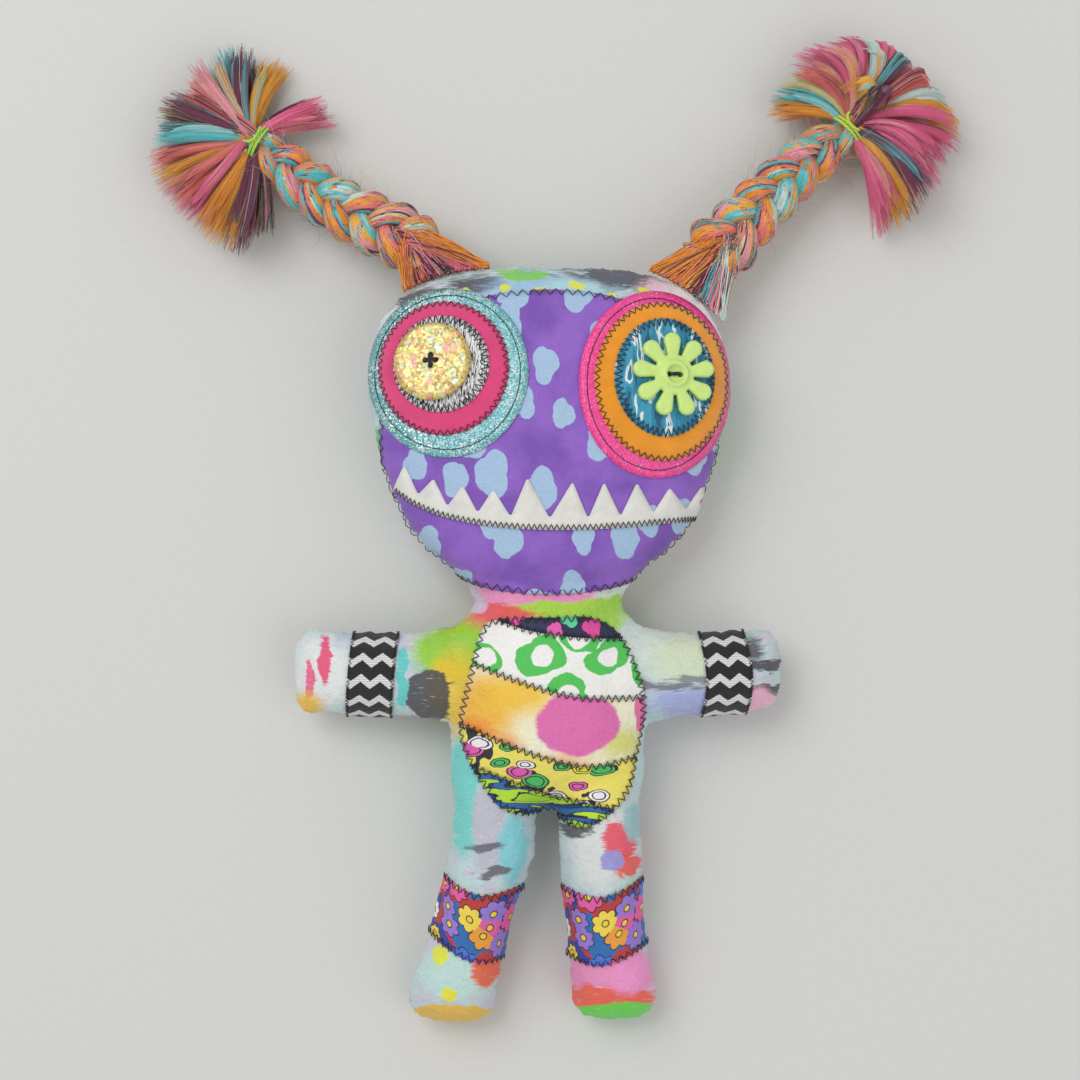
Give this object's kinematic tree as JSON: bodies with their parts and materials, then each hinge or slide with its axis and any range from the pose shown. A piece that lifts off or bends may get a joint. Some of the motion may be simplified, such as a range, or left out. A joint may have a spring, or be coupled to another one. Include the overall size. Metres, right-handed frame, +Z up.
{
  "type": "stuffed monster doll",
  "caption": "Patchwork stuffed monster doll lying on its back, with button eyes, a zigzag felt mouth, a patched tummy, ribbon cuffs and plaited wool bunches.",
  "frame": {"origin": "centre of the flat of the back that the doll lies on, under the middle of the tummy", "axes": "+Z up out of the face, +Y towards the crown, +X towards the viewer's right when looked down on"},
  "size_m": [0.3293, 0.419, 0.0544],
  "materials": {
    "printed_cotton": "plain woven cotton, stiffened, in washes of many colours",
    "fibre_filling": "loose white fibre",
    "purple_cotton": "purple cotton with pale blue blobs",
    "white_felt": "matt felt",
    "teal_glitter_fabric": "glitter on a cloth backing",
    "pink_felt": "matt felt",
    "grey_print_cotton": "cotton with a black and white print",
    "gold_glitter_button": "gloss resin with glitter",
    "black_thread": "cotton thread",
    "pink_glitter_fabric": "glitter on a cloth backing",
    "orange_felt": "matt felt",
    "blue_print_cotton": "cotton with a blue and teal print",
    "lime_button": "gloss plastic",
    "navy_print_cotton": "cotton with a small print",
    "green_print_cotton": "cotton with brushed strokes",
    "sunset_print_cotton": "cotton with large soft shapes",
    "leaf_print_cotton": "cotton with outlined leaves",
    "lime_print_cotton": "cotton with fine lines",
    "chevron_ribbon": "ribbed ribbon with woven white chevrons",
    "flower_print_cotton": "cotton with outlined flowers",
    "dyed_wool_roving": "loose dyed wool fibres",
    "neon_yarn": "neon acrylic yarn"
  },
  "bodies": {
    "torso": {"torso_front_cloth": "printed_cotton", "torso_back_cloth": "printed_cotton", "torso_filling": "fibre_filling", "tummy_collar_patch": "navy_print_cotton", "tummy_upper_patch": "green_print_cotton", "tummy_middle_patch": "sunset_print_cotton", "tummy_lower_patch": "leaf_print_cotton", "tummy_bottom_patch": "lime_print_cotton"},
    "head": {"head_front_cloth": "printed_cotton", "head_back_cloth": "printed_cotton", "head_filling": "fibre_filling", "face_panel": "purple_cotton", "tooth_strip": "white_felt", "left_eye_glitter_disc": "teal_glitter_fabric", "left_eye_felt_disc": "pink_felt", "left_eye_print_disc": "grey_print_cotton", "left_eye_button": "gold_glitter_button", "left_button_thread": "black_thread", "right_eye_glitter_disc": "pink_glitter_fabric", "right_eye_felt_disc": "orange_felt", "right_eye_print_disc": "blue_print_cotton", "right_eye_button": "lime_button", "right_button_thread": "black_thread"},
    "left_arm": {"left_arm_front_cloth": "printed_cotton", "left_arm_back_cloth": "printed_cotton", "left_arm_filling": "fibre_filling", "left_arm_ribbon": "chevron_ribbon"},
    "right_arm": {"right_arm_front_cloth": "printed_cotton", "right_arm_back_cloth": "printed_cotton", "right_arm_filling": "fibre_filling", "right_arm_ribbon": "chevron_ribbon"},
    "left_leg": {"left_leg_front_cloth": "printed_cotton", "left_leg_back_cloth": "printed_cotton", "left_leg_filling": "fibre_filling", "left_leg_band": "flower_print_cotton"},
    "right_leg": {"right_leg_front_cloth": "printed_cotton", "right_leg_back_cloth": "printed_cotton", "right_leg_filling": "fibre_filling", "right_leg_band": "flower_print_cotton"},
    "left_tuft": {"left_braid_tuft": "dyed_wool_roving"},
    "left_braid": {"left_braid_strand_1": "dyed_wool_roving", "left_braid_strand_2": "dyed_wool_roving", "left_braid_strand_3": "dyed_wool_roving", "left_braid_tie": "neon_yarn", "left_braid_tassel": "dyed_wool_roving"},
    "right_tuft": {"right_braid_tuft": "dyed_wool_roving"},
    "right_braid": {"right_braid_strand_1": "dyed_wool_roving", "right_braid_strand_2": "dyed_wool_roving", "right_braid_strand_3": "dyed_wool_roving", "right_braid_tie": "neon_yarn", "right_braid_tassel": "dyed_wool_roving"}
  },
  "joints": [
    {"name": "neck_bend", "type": "hinge", "parent": "torso", "child": "head", "pos_m": [0, 0.0495, 0.0225], "axis": [1, 0, 0], "range_deg": [-20, 20], "stiffness_Nm_per_rad": 0.4},
    {"name": "left_shoulder_bend", "type": "hinge", "parent": "torso", "child": "left_arm", "pos_m": [-0.0506, 0.018, 0.0225], "axis": [0, 1, 0], "range_deg": [-30, 40], "stiffness_Nm_per_rad": 0.06},
    {"name": "right_shoulder_bend", "type": "hinge", "parent": "torso", "child": "right_arm", "pos_m": [0.0506, 0.0176, 0.0225], "axis": [0, -1, 0], "range_deg": [-30, 40], "stiffness_Nm_per_rad": 0.06},
    {"name": "left_hip_bend", "type": "hinge", "parent": "torso", "child": "left_leg", "pos_m": [-0.0237, -0.054, 0.0225], "axis": [-1, 0, 0], "range_deg": [-15, 45], "stiffness_Nm_per_rad": 0.12},
    {"name": "right_hip_bend", "type": "hinge", "parent": "torso", "child": "right_leg", "pos_m": [0.0223, -0.054, 0.0225], "axis": [-1, 0, 0], "range_deg": [-15, 45], "stiffness_Nm_per_rad": 0.12},
    {"name": "left_tuft_lift", "type": "hinge", "parent": "head", "child": "left_tuft", "pos_m": [-0.04405, 0.19071, 0.0225], "axis": [0.9646, 0.2638, 0], "range_deg": [-50, 60]},
    {"name": "right_tuft_lift", "type": "hinge", "parent": "head", "child": "right_tuft", "pos_m": [0.06121, 0.18296, 0.0225], "axis": [0.8189, -0.5739, 0], "range_deg": [-50, 60]},
    {"name": "left_braid_swing", "type": "hinge", "parent": "left_tuft", "child": "left_braid", "pos_m": [-0.05996, 0.20286, 0.02038], "axis": [-0.0349, 0.1275, 0.9912], "range_deg": [-45, 30]},
    {"name": "right_braid_swing", "type": "hinge", "parent": "right_tuft", "child": "right_braid", "pos_m": [0.07453, 0.2003, 0.0202], "axis": [-0.06, -0.0856, -0.9945], "range_deg": [-45, 30]}
  ]
}
